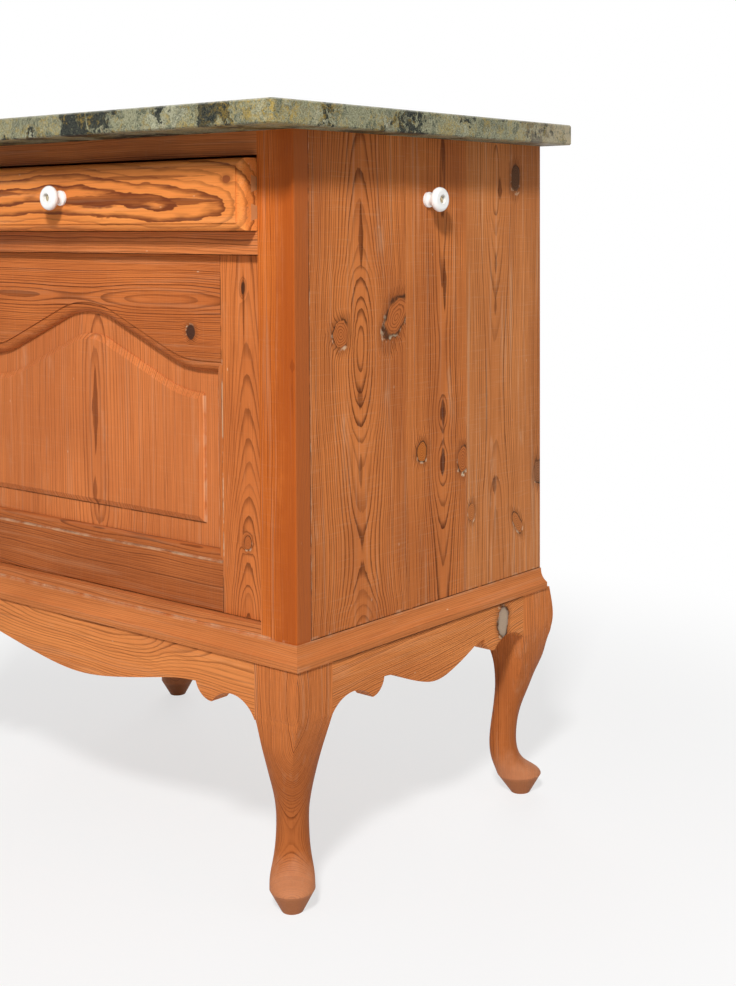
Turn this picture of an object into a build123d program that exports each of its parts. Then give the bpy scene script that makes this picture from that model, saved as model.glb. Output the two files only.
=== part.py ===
from build123d import *
from math import cos, radians, sin, sqrt, tan
import os

# Pine washstand on cabriole legs, with a marble slab, one drawer and one cupboard door.
# Millimetres. +X is the viewer's right, -Y is the front, +Z is up, and the floor is at zero.

# Carcass
carcass_w = 650.0
carcass_d = 417.0
carcass_h = 500.0
base_z = 272.0
side_t = 18.0
back_t = 12.0
back_count = 3
seam_1 = 167.8
seam_2 = 273.1
post_w = 48.7
post_t = 21.3
post_round = 2.2
rail_depth = 60.0
top_rail_t = 23.3
drawer_rail_t = 22.8
drawer_drop = 121.0
bottom_rail_t = 12.3
floor_t = 18.0
rear_rail_depth = 55.0
cleat_w = 26.0

# Marble slab
slab_t = 23.0
slab_side = 41.0
slab_front = 69.0
slab_back = 6.5
slab_corner = 4.0
slab_arris = 1.5

# Clearances
fit_gap = 0.3
door_gap = 1.0
drawer_side_gap = 0.6
drawer_top_gap = 3.2
guide_gap = 0.8

# Base frame, a moulded board laid flat under the carcass
frame_t = 23.0
frame_w = 68.4
mould_out = 10.4
mould_fascia = 7.0
mould_top = 1.6
mould_fillet = 1.8

# Legs and aprons
apron_proud = 8.0
apron_t = 22.0
leg_seam_front = 51.0
leg_seam_side = 42.0
leg_seam_rear = 46.0
knee_bulge = 3.0
knee_z = 212.0
foot_reach = 11.4
glue_block = 20.0
glue_block_l = 60.0

# Leg sections below the seam. Heights are shares of the leg's height, and the next four
# are shares of leg_w: the outer and inner reach along the diagonal from the carcass corner,
# the half width across it and the offset across it. The last is the roundness.
leg_w = 60.0
knee_ratios = (0.0, 0.75, 1.0, 0.45)
leg_ratios = (
    (0.6627, 0.0600, -0.9500, 0.5083, -0.0767, 0.32),
    (0.5823, -0.0967, -0.9000, 0.4267, -0.0833, 0.60),
    (0.5261, -0.2000, -0.8933, 0.3750, -0.0833, 0.82),
    (0.4498, -0.3417, -0.9133, 0.3117, -0.0800, 1.00),
    (0.3775, -0.4300, -0.9533, 0.2783, -0.0800, 1.00),
    (0.3052, -0.4700, -0.9933, 0.2767, -0.0800, 1.00),
    (0.2289, -0.4567, -1.0050, 0.2967, -0.0833, 1.00),
    (0.1807, -0.3833, -0.9783, 0.3267, -0.0867, 1.00),
    (0.1446, -0.2417, -0.9333, 0.3600, -0.0917, 1.00),
    (0.1165, -0.0600, -0.8867, 0.3783, -0.0967, 1.00),
    (0.0884, 0.0283, -0.8417, 0.3817, -0.0967, 1.00),
)
foot_ratios = (-0.1917, -0.5667, 0.1800, -0.0967)

# Apron outline: heights above the floor, and distances from the carcass corner
drop_z = 188.5
cusp_z = 214.0
lobe_z = 197.0
hollow_z = 210.5
front_cusp = 136.0
front_lobe = 113.0
front_hollow_r = 37.5
side_cusp = 121.2
side_lobe = 103.0
side_hollow_r = 40.0
rear_apron_h = 54.0

# Door
door_recess = 8.5
door_t = 20.0
stile_w = 61.0
door_rail_low = 52.0
arch_spring = 108.0
arch_shoulder = 157.0
arch_slope = 22.3
arch_r = 118.0
sticking_w = 11.0
sticking_step = 1.5
sticking_r = 8.0
groove_depth = 8.0
panel_back = 4.0
panel_edge_t = 6.0
panel_edge_y = 9.5
field_margin = 24.0
field_rise = 4.5
field_bevel = 6.5
field_bevel_h = 3.6

# Drawer
front_proud = 21.5
front_t = 24.0
front_foot_gap = 0.8
front_roll = 7.0
front_quirk = 1.4
drawer_side_t = 12.0
drawer_side_h = 65.0
drawer_back_t = 12.0
drawer_bottom_t = 6.0
drawer_bottom_up = 7.0
drawer_groove = 6.0
tail_count = 2
tail_l = 10.0
tail_w = 17.0
tail_flare = 3.0
tail_edge = 10.0

# Hinges, with the pin just in front of the door's face and inside the post's edge
pin_from_post = 3.2
pin_from_face = 1.0
pin_r = 1.5
knuckle_r = 3.0
knuckle_bore_gap = 0.05
knuckle_gap = 0.3
hinge_l = 54.0
hinge_inset = 45.0
leaf_t = 1.2
leaf_d = 17.0
tip_r = 2.2
tip_h = 2.0

# Lock in the left stile
backset = 30.0
lock_z = 190.0
case_w = 44.0
case_h = 50.0
case_t = 11.6
bolt_w = 14.0
bolt_t = 5.0
bolt_l = 30.0
key_r = 2.4
key_bow_r = 9.0
key_bow_t = 3.0
key_out = 15.0
key_collar = 2.5
keyhole_gap = 0.6
case_wall = 1.0
bit_l = 8.0
bit_t = 2.6
bit_w = 2.8
escutcheon_w = 22.0
escutcheon_h = 34.0
escutcheon_t = 1.2
escutcheon_drop = 3.0

# Porcelain knobs
knob_y = 206.0
knob_drop = 65.3
knob_base_r = 8.2
knob_neck_r = 5.2
knob_head_r = 13.2
knob_head_t = 4.5
knob_head_x = 16.0
knob_foot_t = 2.4
knob_waist_x = 7.0
knob_rim_drop = 3.4
knob_face_drop = 4.6
knob_recess_r = 5.0
knob_recess = 4.0
screw_head_r = 3.9
screw_head_h = 2.4
screw_rim_h = 0.8

# Bezier handle of a quarter ellipse, as a share of its half axis
QUARTER = 0.5523

# Planes worked out from the sizes above
half_w = carcass_w / 2
face_y = (slab_front - carcass_d - foot_reach) / 2
back_y = face_y + carcass_d
top_z = base_z + carcass_h
frame_z = base_z - frame_t
side_in = half_w - side_t
post_in = half_w - post_w
board_y = back_y - back_t
drawer_rail_low = top_z - drawer_drop
drawer_rail_top = drawer_rail_low + drawer_rail_t
top_rail_low = top_z - top_rail_t
door_low = base_z + bottom_rail_t + door_gap
door_high = drawer_rail_low - door_gap
door_y = face_y + door_recess
door_back = door_y + door_t
door_half = post_in - door_gap
stile_in = door_half - stile_w
spring_z = door_high - arch_spring
open_low = door_low + door_rail_low
hinge_x = post_in - pin_from_post
hinge_y = door_y - pin_from_face
key_x = -(door_half - backset)
key_z = base_z + lock_z

os.makedirs("parts", exist_ok=True)


def block(x0, x1, y0, y1, z0, z1):
    centre = Pos((x0 + x1) / 2, (y0 + y1) / 2, (z0 + z1) / 2)
    return centre * Box(x1 - x0, y1 - y0, z1 - z0)


def upright(sketch, y0, y1):
    """Extrude a sketch drawn in X and Z from the plane y0 back to y1."""
    return extrude(Plane.XZ.offset(-y1) * sketch, y1 - y0)


def upright_side(sketch, x0, x1):
    """Extrude a sketch drawn in Y and Z from the plane x0 to x1."""
    return extrude(Plane.YZ.offset(x0) * sketch, x1 - x0)


def flat(sketch, z0, z1):
    return extrude(Pos(0, 0, z0) * sketch, z1 - z0)


def save(name, shape):
    export_step(shape, f"parts/{name}.step")


def mirrored(shape):
    return mirror(shape, about=Plane.YZ)


# Marble slab
def marble_slab():
    half = half_w + slab_side
    slab = block(-half, half, face_y - slab_front, back_y + slab_back, top_z, top_z + slab_t)
    slab = fillet(slab.edges().filter_by(Axis.Z), slab_corner)
    rims = slab.edges().group_by(Axis.Z)[-1] + slab.edges().group_by(Axis.Z)[0]
    return chamfer(rims, slab_arris)


# Carcass
def post():
    shape = block(post_in, half_w, face_y, face_y + post_t, base_z, top_z)
    corner = shape.edges().filter_by(Axis.Z).sort_by(lambda e: e.center().X - e.center().Y)[-1]
    return fillet(corner, post_round)


def shouldered_rail(z0, z1, depth):
    """A rail flush between the posts that widens behind them to reach the sides."""
    tongue = block(-post_in, post_in, face_y, face_y + post_t, z0, z1)
    web = block(-side_in, side_in, face_y + post_t, face_y + depth, z0, z1)
    return tongue + web


def carcass():
    right_post = post()
    save("post_right", right_post)
    save("post_left", mirrored(right_post))
    seams = [post_t, seam_1, seam_2, carcass_d]
    for number, (near, far) in enumerate(zip(seams, seams[1:]), start=1):
        board = block(side_in, half_w, face_y + near, face_y + far, base_z, top_z)
        save(f"side_board_right_{number}", board)
        save(f"side_board_left_{number}", mirrored(board))
    width = 2 * side_in / back_count
    for number in range(back_count):
        left = -side_in + number * width
        save(f"back_board_{number + 1}", block(left, left + width, board_y, back_y, base_z, top_z))
    save("top_rail", shouldered_rail(top_rail_low, top_z, rail_depth))
    save("drawer_rail", shouldered_rail(drawer_rail_low, drawer_rail_top, rail_depth))
    bottom_depth = door_recess + door_t + fit_gap
    save("bottom_rail", shouldered_rail(base_z, base_z + bottom_rail_t, bottom_depth))
    floor = block(-side_in, side_in, face_y + bottom_depth, board_y, base_z, base_z + floor_t)
    save("cabinet_floor", floor)
    rear_y = board_y - rear_rail_depth
    save("top_rear_rail", block(-side_in, side_in, rear_y, board_y, top_rail_low, top_z))
    rail_y = face_y + rail_depth
    cleat = block(side_in - cleat_w, side_in, rail_y, rear_y, top_rail_low, top_z)
    save("top_cleat_right", cleat)
    save("top_cleat_left", mirrored(cleat))
    runner_in = post_in - drawer_side_gap - drawer_side_t
    runner = block(runner_in, side_in, rail_y, board_y, drawer_rail_low, drawer_rail_top)
    save("drawer_runner_right", runner)
    save("drawer_runner_left", mirrored(runner))
    guide_in = post_in - drawer_side_gap + guide_gap
    guide_top = drawer_rail_top + glue_block
    guide = block(guide_in, side_in, face_y + post_t, board_y, drawer_rail_top, guide_top)
    save("drawer_guide_right", guide)
    save("drawer_guide_left", mirrored(guide))


# Base frame with a cove moulding on its outer edges
def mould_profile():
    """The board's section: outward distance from the carcass face, and height."""
    inner = mould_out - frame_w
    ridge = (mould_out, frame_z + mould_fascia)
    cove_top = (mould_top, base_z - mould_fillet)
    cove_mid = (mould_top + 0.34 * (mould_out - mould_top), ridge[1] + 0.36 * (cove_top[1] - ridge[1]))
    outline = Line((inner, frame_z), (mould_out, frame_z))
    outline += Line((mould_out, frame_z), ridge)
    outline += ThreePointArc(ridge, cove_mid, cove_top)
    outline += Line(cove_top, (mould_top, base_z))
    outline += Line((mould_top, base_z), (inner, base_z))
    outline += Line((inner, base_z), (inner, frame_z))
    return make_face(outline)


def base_frame():
    profile = mould_profile()
    out_x = half_w + mould_out
    in_x = out_x - frame_w
    out_y = face_y - mould_out
    in_y = out_y + frame_w
    front_plane = Plane((0, face_y, 0), x_dir=(0, -1, 0), z_dir=(-1, 0, 0))
    bar = extrude(front_plane * profile, out_x, both=True)
    plan = Polyline((-out_x, out_y), (out_x, out_y), (in_x, in_y), (-in_x, in_y), close=True)
    save("base_moulding_front", bar & flat(make_face(plan), frame_z, base_z))
    side_plane = Plane((half_w, back_y, 0), x_dir=(1, 0, 0), z_dir=(0, -1, 0))
    side = extrude(side_plane * profile, carcass_d + mould_out)
    plan = Polyline((out_x, out_y), (out_x, back_y), (in_x, back_y), (in_x, in_y), close=True)
    side = side & flat(make_face(plan), frame_z, base_z)
    save("base_moulding_right", side)
    save("base_moulding_left", mirrored(side))
    save("base_rear_rail", block(-in_x, in_x, back_y - rear_rail_depth, back_y, frame_z, base_z))


# Aprons with a centre drop, cusps, lobes and a round hollow beside each leg
def hollow_centre(lobe, hollow_r):
    """The round hollow's centre, as its distance from the carcass corner and its height."""
    rise = hollow_r - hollow_z + lobe_z
    return lobe - sqrt(hollow_r**2 - rise**2), hollow_z - hollow_r


def hollow_end(lobe, hollow_r, seam):
    """The height at which the hollow meets the leg's seam."""
    centre, low = hollow_centre(lobe, hollow_r)
    return low + sqrt(hollow_r**2 - (centre - seam) ** 2)


def apron_half(half, seam, cusp, lobe, hollow_r):
    """The right half of the outline, from the centre drop to the leg's seam."""
    centre, _ = hollow_centre(lobe, hollow_r)
    end = (half - seam, hollow_end(lobe, hollow_r, seam))
    cusp_x, lobe_x = half - cusp, half - lobe
    swell = Spline(
        (0, drop_z),
        (0.26 * cusp_x, drop_z + 0.15 * (cusp_z - drop_z)),
        (0.71 * cusp_x, drop_z + 0.74 * (cusp_z - drop_z)),
        (cusp_x, cusp_z),
        tangents=[(1, 0), (1, 0.02)],
    )
    lobe_mid = (cusp_x + 0.42 * (cusp - lobe), lobe_z + 0.24 * (cusp_z - lobe_z))
    flank = ThreePointArc((cusp_x, cusp_z), lobe_mid, (lobe_x, lobe_z))
    hollow = ThreePointArc((lobe_x, lobe_z), (half - centre, hollow_z), end)
    close = Polyline(end, (end[0], frame_z), (0, frame_z), (0, drop_z))
    return make_face(swell + flank + hollow + close)


def aprons():
    front = apron_half(half_w, leg_seam_front, front_cusp, front_lobe, front_hollow_r)
    front_y = face_y - apron_proud
    front = upright(front, front_y, front_y + apron_t)
    save("apron_front", front + mirrored(front))
    mid = carcass_d / 2
    near = apron_half(mid, leg_seam_side, side_cusp, side_lobe, side_hollow_r)
    far = apron_half(mid, leg_seam_rear, side_cusp, side_lobe, side_hollow_r)
    out_x = half_w + apron_proud
    side_near = mirror(upright_side(near, out_x - apron_t, out_x), about=Plane.XZ)
    side_far = upright_side(far, out_x - apron_t, out_x)
    side = Pos(0, face_y + mid, 0) * (side_near + side_far)
    save("apron_right", side)
    save("apron_left", mirrored(side))
    rear_end = half_w - leg_seam_front
    rear_out = back_y + apron_proud
    rear_low = frame_z - rear_apron_h
    save("apron_rear", block(-rear_end, rear_end, rear_out - apron_t, rear_out, rear_low, frame_z))


def glue_blocks():
    """Square blocks glued behind the aprons, under the base frame."""
    low = frame_z - glue_block
    front_in = face_y - apron_proud + apron_t
    side_in_x = half_w + apron_proud - apron_t
    rear_in = back_y + apron_proud - apron_t
    blocks = []
    for x in (-carcass_w / 4, carcass_w / 4):
        x0, x1 = x - glue_block_l / 2, x + glue_block_l / 2
        blocks.append(block(x0, x1, front_in, front_in + glue_block, low, frame_z))
        blocks.append(block(x0, x1, rear_in - glue_block, rear_in, low, frame_z))
    mid = face_y + carcass_d / 2
    y0, y1 = mid - glue_block_l / 2, mid + glue_block_l / 2
    strip = block(side_in_x - glue_block, side_in_x, y0, y1, low, frame_z)
    blocks += [strip, mirrored(strip)]
    save("glue_blocks", Compound(children=blocks))


# Cabriole legs, drawn at the front right corner of the carcass
def diagonal(r, w):
    """A plan point from its outward distance along the diagonal and its distance across it."""
    return ((r + w) / sqrt(2), (w - r) / sqrt(2))


def leg_section(z, corners, roundness):
    """Four sides through the given corners: straight at roundness 0 and an ellipse at 1."""
    points = [Vector(*corner) for corner in corners]
    centre = (points[0] + points[1] + points[2] + points[3]) / 4
    outline = []
    for a, b in zip(points, points[1:] + points[:1]):
        swell = a + b - centre
        near = (a + (b - a) / 3) * (1 - roundness) + (a + (swell - a) * QUARTER) * roundness
        far = (b + (a - b) / 3) * (1 - roundness) + (b + (swell - b) * QUARTER) * roundness
        outline.append(Bezier(a, near, far, b))
    return Pos(0, 0, z) * make_face(Curve() + outline)


def block_corners(bulge, seam_x, seam_y):
    """The square part above the shank, whose two inner faces meet the aprons."""
    out = apron_proud + bulge * knee_bulge
    return [(out, -out), (-seam_x, -apron_proud), (-seam_x, seam_y), (apron_proud, seam_y)]


def round_corners(*shares):
    r_out, r_in, half, across = (leg_w * share for share in shares)
    mid = (r_out + r_in) / 2
    sides = [diagonal(r_out, across), diagonal(mid, across - half)]
    return sides + [diagonal(r_in, across), diagonal(mid, across + half)]


def between(first, last, share):
    return [tuple(a + (b - a) * share for a, b in zip(p, q)) for p, q in zip(first, last)]


def leg(seam_x, seam_y):
    foot_z = hollow_end(side_lobe, side_hollow_r, seam_y)
    crown = []
    for z, bulge in zip((frame_z, (frame_z + knee_z) / 2, knee_z, foot_z), knee_ratios):
        crown.append(leg_section(z, block_corners(bulge, seam_x, seam_y), 0))
    block_foot = block_corners(knee_ratios[-1], seam_x, seam_y)
    neck_height, *neck, neck_roundness = leg_ratios[0]
    neck_z = neck_height * frame_z
    shank = [crown[-1]]
    for share in (0.3, 0.65):
        corners = between(block_foot, round_corners(*neck), share)
        shank.append(leg_section(foot_z + (neck_z - foot_z) * share, corners, neck_roundness * share))
    for height, *shares, roundness in leg_ratios:
        shank.append(leg_section(height * frame_z, round_corners(*shares), roundness))
    base = leg_section(0.0, round_corners(*foot_ratios), 1.0)
    return loft(crown[::-1]) + loft(shank[::-1]) + loft([base, shank[-1]], ruled=True)


def legs():
    front = Pos(half_w, face_y, 0) * leg(leg_seam_front, leg_seam_side)
    rear = Pos(half_w, back_y, 0) * mirror(leg(leg_seam_front, leg_seam_rear), about=Plane.XZ)
    save("leg_front_right", front)
    save("leg_front_left", mirrored(front))
    save("leg_rear_right", rear)
    save("leg_rear_left", mirrored(rear))


# Door with an arched, raised and fielded panel
def arched_face(inset):
    """The door's opening with its arched head, drawn in by the given distance all round."""
    theta = radians(arch_slope)
    half = stile_in - inset
    wide = 2 * stile_in
    spring = spring_z - inset
    shoulder = arch_shoulder - inset * tan(theta / 2)
    apex = spring_z + arch_shoulder * tan(theta) - inset / cos(theta)
    low = open_low + inset
    head = FilletPolyline(
        (-wide, spring),
        (-shoulder, spring),
        (0, apex),
        (shoulder, spring),
        (wide, spring),
        radius=[arch_r + inset, arch_r - inset, arch_r + inset],
    )
    sides = Polyline((wide, spring), (wide, low), (-wide, low), (-wide, spring))
    window = Pos(0, low) * Rectangle(2 * half, 4 * arch_spring, align=(Align.CENTER, Align.MIN))
    return make_face(head + sides) & window


def door_frame():
    """The four frame pieces as one ring, with the ovolo sticking and the panel's groove cut."""
    ring = block(-door_half, door_half, door_y, door_back, door_low, door_high)
    ring -= upright(arched_face(sticking_w), door_y, door_back)
    rim_y = door_y + sticking_step
    ring -= upright(arched_face(0), door_y, rim_y)
    arrises = [e for e in ring.edges() if abs(e.center().Y - rim_y) < 0.01 and is_sticking(e)]
    ring = fillet(arrises, sticking_r)
    groove_y = door_y + panel_edge_y
    return ring - upright(arched_face(sticking_w - groove_depth), groove_y, groove_y + panel_edge_t)


def is_sticking(edge):
    """Edges of the opening itself, which lie inside the arris by the sticking's width."""
    box = edge.bounding_box()
    inside_x = max(abs(box.min.X), abs(box.max.X)) < stile_in - sticking_w / 2
    inside_z = box.min.Z > open_low + sticking_w / 2
    return inside_x and inside_z and touches(edge, arched_face(sticking_w))


def touches(edge, face):
    point = edge @ 0.5
    flat_point = Vector(point.X, point.Z, 0)
    return min(Vertex(flat_point).distance_to(e) for e in face.edges()) < 0.05


def stile_region():
    """The right stile's outline, with its sticking mitred into the rails'."""
    inner = stile_in - sticking_w
    outline = Polyline(
        (door_half, door_low),
        (door_half, door_high),
        (stile_in, door_high),
        (stile_in, spring_z),
        (inner, spring_z - sticking_w),
        (inner, open_low + sticking_w),
        (stile_in, open_low),
        (stile_in, door_low),
        close=True,
    )
    return upright(make_face(outline), door_y, door_back)


def door_panel():
    plate_y = door_y + panel_edge_y
    edge = arched_face(sticking_w - groove_depth + fit_gap)
    plate = upright(edge, plate_y + fit_gap / 2, plate_y + panel_edge_t - fit_gap / 2)
    back_plane = plate_y + panel_edge_t + panel_back
    back = upright(arched_face(sticking_w + fit_gap), plate_y + fit_gap / 2, back_plane)
    foot_y = plate_y - field_rise + field_bevel_h
    foot = arched_face(sticking_w + field_margin)
    top = arched_face(sticking_w + field_margin + field_bevel)
    bevel = loft([Plane.XZ.offset(-foot_y) * foot, Plane.XZ.offset(field_rise - plate_y) * top], ruled=True)
    field = upright(foot, foot_y, plate_y + panel_edge_t)
    return plate + back + field + bevel


def door():
    ring = door_frame()
    region = stile_region()
    right = ring & region
    left = ring & mirrored(region)
    rails = ring - region - mirrored(region)
    middle = (door_low + door_high) / 2
    save("door_rail_top", rails & block(-door_half, door_half, door_y, door_back, middle, door_high))
    save("door_rail_bottom", rails & block(-door_half, door_half, door_y, door_back, door_low, middle))
    save("door_stile_right", right - hinge_cuts())
    save("door_stile_left", left - lock_cuts())
    save("door_panel", door_panel())


# Hinges
def hinge_centres():
    return [door_low + hinge_inset + hinge_l / 2, door_high - hinge_inset - hinge_l / 2]


def hinge_rod(radius, z, length):
    return Pos(hinge_x, hinge_y, z) * Cylinder(radius, length)


def hinge_cuts():
    """What the door's edge loses to the two hinges: leaf mortises and room for the barrels."""
    clear = knuckle_r + 2 * fit_gap
    leaf_x = post_in - leaf_t - fit_gap - leaf_t
    reach = hinge_l / 2 + tip_h + fit_gap
    cuts = []
    for z in hinge_centres():
        seat = block(leaf_x, door_half, hinge_y, hinge_y + leaf_d + fit_gap, z - hinge_l / 2, z + hinge_l / 2)
        mouth = block(hinge_x, door_half, door_y, hinge_y + clear, z - reach, z + reach)
        cuts += [seat, mouth, hinge_rod(clear, z, 2 * reach)]
    return Compound(children=cuts)


def hinges():
    knuckle_l = (hinge_l - 2 * knuckle_gap) / 3
    pitch = knuckle_l + knuckle_gap
    bore_r = pin_r + knuckle_bore_gap
    for number, z in enumerate(hinge_centres(), start=1):
        low, high = z - hinge_l / 2, z + hinge_l / 2
        post_leaf_x = post_in - leaf_t
        post_leaf = block(post_leaf_x, post_in, hinge_y, hinge_y + leaf_d, low, high)
        post_leaf -= hinge_rod(knuckle_r + fit_gap, z, knuckle_l + 2 * knuckle_gap)
        for side in (-1, 1):
            post_leaf += hinge_rod(knuckle_r, z + side * pitch, knuckle_l)
            post_leaf += hinge_rod(tip_r, z + side * (hinge_l + tip_h) / 2, tip_h)
        post_leaf += hinge_rod(pin_r, z, hinge_l)
        door_leaf_x = post_leaf_x - fit_gap
        door_leaf = block(door_leaf_x - leaf_t, door_leaf_x, hinge_y, hinge_y + leaf_d, low, high)
        for side in (-1, 1):
            end_l = knuckle_l + knuckle_gap
            door_leaf -= hinge_rod(knuckle_r + fit_gap, z + side * (hinge_l - end_l + knuckle_gap) / 2, end_l)
        door_leaf += hinge_rod(knuckle_r, z, knuckle_l)
        door_leaf -= hinge_rod(bore_r, z, hinge_l)
        save(f"hinge_post_leaf_{number}", post_leaf)
        save(f"hinge_door_leaf_{number}", door_leaf)


# Lock, key and escutcheon
def keyhole(y0, y1, grow):
    """A round hole with a slot below it, for the key's stem and bit."""
    radius = key_r + grow
    hole = upright(Pos(key_x, key_z) * Circle(radius), y0, y1)
    reach = bit_t / 2 + grow
    slot = block(key_x - reach, key_x + reach, y0, y1, key_z - key_r - bit_l - grow, key_z)
    return hole + slot


def lock_planes():
    case_y = door_back - fit_gap - case_t
    bolt_y = face_y + post_t + fit_gap
    return case_y, bolt_y


def lock_cuts():
    case_y, _ = lock_planes()
    reach = case_h / 2 + fit_gap
    case_x = case_w - door_half + fit_gap
    pocket = block(-door_half, case_x, case_y - fit_gap, door_back, key_z - reach, key_z + reach)
    return Compound(children=[pocket, keyhole(door_y, door_back, keyhole_gap)])


def lock():
    case_y, bolt_y = lock_planes()
    edge = -door_half
    wall_y = case_y + case_wall
    bolt_low = key_z + key_r + case_wall
    bolt_high = bolt_low + bolt_w
    case = block(edge, edge + case_w, case_y, case_y + case_t, key_z - case_h / 2, key_z + case_h / 2)
    near, far = bolt_y - fit_gap, bolt_y + bolt_t + fit_gap
    channel = block(edge, edge + bolt_l + fit_gap, near, far, bolt_low - fit_gap, bolt_high + fit_gap)
    chamber = upright(Pos(key_x, key_z) * Circle(key_r + bit_l + case_wall), wall_y, bolt_y - 2 * fit_gap)
    case = case - channel - chamber - keyhole(case_y, wall_y, keyhole_gap)
    save("lock_case", case)
    save("lock_bolt", block(edge, edge + bolt_l, bolt_y, bolt_y + bolt_t, bolt_low, bolt_high))
    front_y = door_y - escutcheon_t
    plate = Pos(key_x, key_z - escutcheon_drop) * Ellipse(escutcheon_w / 2, escutcheon_h / 2)
    save("escutcheon", upright(plate, front_y, door_y) - keyhole(front_y, door_y, keyhole_gap))


def key():
    _, bolt_y = lock_planes()
    tip_y = bolt_y - 3 * fit_gap
    bow_y = door_y - key_out
    stem = upright(Pos(key_x, key_z) * Circle(key_r), bow_y - 0.4 * key_collar, tip_y)
    bit = block(key_x - bit_t / 2, key_x + bit_t / 2, tip_y - bit_w, tip_y, key_z - key_r - bit_l, key_z)
    collar = upright(Pos(key_x, key_z) * Circle(1.5 * key_r), bow_y, bow_y + key_collar)
    ring = Ellipse(key_bow_r * 0.8, key_bow_r) - Ellipse(key_bow_r * 0.8 - key_bow_t, key_bow_r - key_bow_t)
    ring_y = bow_y - 0.8 * key_bow_r
    bow = upright_side(Pos(ring_y, key_z) * ring, key_x - key_bow_t / 2, key_x + key_bow_t / 2)
    save("key", stem + bit + collar + bow)


# Drawer
def drawer_front_board():
    """The front board with a quirk, a roll and a cove worked round its face."""
    half = post_in - drawer_side_gap
    low = drawer_rail_top + front_foot_gap
    high = top_rail_low - drawer_top_gap
    y0 = face_y - front_proud
    y1 = y0 + front_t
    board = block(-half, half, y0 + front_quirk, y1, low, high)
    rims = board.edges().group_by(Axis.Y)[0]
    board = fillet(rims, front_roll)
    inset = 1.09 * front_roll
    field = block(-half + inset, half - inset, y0, y0 + front_quirk, low + inset, high - inset)
    return board + field


def dovetails(x0, x1, low):
    """Tails on the end of the right side, flaring towards the front board."""
    y1 = face_y - front_proud + front_t
    pitch = (drawer_side_h - 2 * tail_edge - tail_w) / (tail_count - 1)
    tails = []
    for number in range(tail_count):
        mid = low + tail_edge + tail_w / 2 + number * pitch
        neck = tail_w / 2 - tail_flare
        outline = Polyline(
            (y1, mid - neck),
            (y1, mid + neck),
            (y1 - tail_l, mid + tail_w / 2),
            (y1 - tail_l, mid - tail_w / 2),
            close=True,
        )
        tails.append(upright_side(make_face(outline), x0, x1))
    return tails


def drawer():
    half = post_in - drawer_side_gap
    low = drawer_rail_top + fit_gap
    y1 = face_y - front_proud + front_t
    rear = board_y - fit_gap
    side_x = half - drawer_side_t
    bottom_z = low + drawer_bottom_up
    tails = dovetails(side_x, half, low)
    front = drawer_front_board()
    for tail in tails:
        front = front - tail - mirrored(tail)
    bottom_half = side_x + drawer_groove
    back_z = bottom_z + drawer_bottom_t
    bottom = block(fit_gap - bottom_half, bottom_half - fit_gap, y1, rear - fit_gap, bottom_z, back_z)
    groove = block(-bottom_half, bottom_half, y1, rear, bottom_z, back_z)
    side = block(side_x, half, y1, rear, low, low + drawer_side_h) - groove
    for tail in tails:
        side += tail
    back = block(-side_x, side_x, rear - drawer_back_t, rear, back_z, low + drawer_side_h)
    save("drawer_front", front)
    save("drawer_side_right", side)
    save("drawer_side_left", mirrored(side))
    save("drawer_back", back)
    save("drawer_bottom", bottom)


# Porcelain knobs, turned about X and fixed by a domed screw in a recess
def knob_profile():
    front = knob_head_x + knob_head_t
    neck_end = (knob_head_x - 0.87 * knob_head_t, knob_head_r - knob_rim_drop)
    face_r = knob_head_r - knob_face_drop
    outline = Line((0, 0), (0, knob_base_r))
    outline += Line((0, knob_base_r), (knob_foot_t, knob_base_r))
    outline += Spline(
        (knob_foot_t, knob_base_r),
        (knob_waist_x, knob_neck_r),
        neck_end,
        tangents=[(0.3, -1), (0.25, 1)],
    )
    outline += ThreePointArc(neck_end, (knob_head_x, knob_head_r), (front, face_r))
    outline += Line((front, face_r), (front, knob_recess_r))
    outline += Line((front, knob_recess_r), (front - knob_recess, knob_recess_r))
    outline += Line((front - knob_recess, knob_recess_r), (front - knob_recess, 0))
    outline += Line((front - knob_recess, 0), (0, 0))
    return make_face(outline)


def knob():
    return revolve(knob_profile(), Axis.X)


def knob_screw():
    seat = knob_head_x + knob_head_t - knob_recess
    outline = Line((seat, 0), (seat, screw_head_r))
    outline += Line((seat, screw_head_r), (seat + screw_rim_h, screw_head_r))
    dome = (seat + screw_head_h, 0.1 * screw_head_r)
    dome_mid = (seat + 0.81 * screw_head_h, 0.6 * screw_head_r)
    outline += ThreePointArc((seat + screw_rim_h, screw_head_r), dome_mid, dome)
    outline += Line(dome, (seat + screw_head_h, 0))
    outline += Line((seat + screw_head_h, 0), (seat, 0))
    return revolve(make_face(outline), Axis.X)


def knobs():
    towel = Pos(half_w, face_y + knob_y, top_z - knob_drop)
    save("towel_knob", towel * knob())
    save("towel_knob_screw", towel * knob_screw())
    front_mid = (drawer_rail_top + front_foot_gap + top_rail_low - drawer_top_gap) / 2
    pull = Pos(0, face_y - front_proud, front_mid) * Rot(0, 0, -90)
    save("drawer_knob", pull * knob())
    save("drawer_knob_screw", pull * knob_screw())


save("marble_slab", marble_slab())
carcass()
base_frame()
aprons()
glue_blocks()
legs()
door()
hinges()
lock()
key()
drawer()
knobs()
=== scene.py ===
import math

import bpy
import numpy as np
from mathutils import Matrix, Vector


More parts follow.
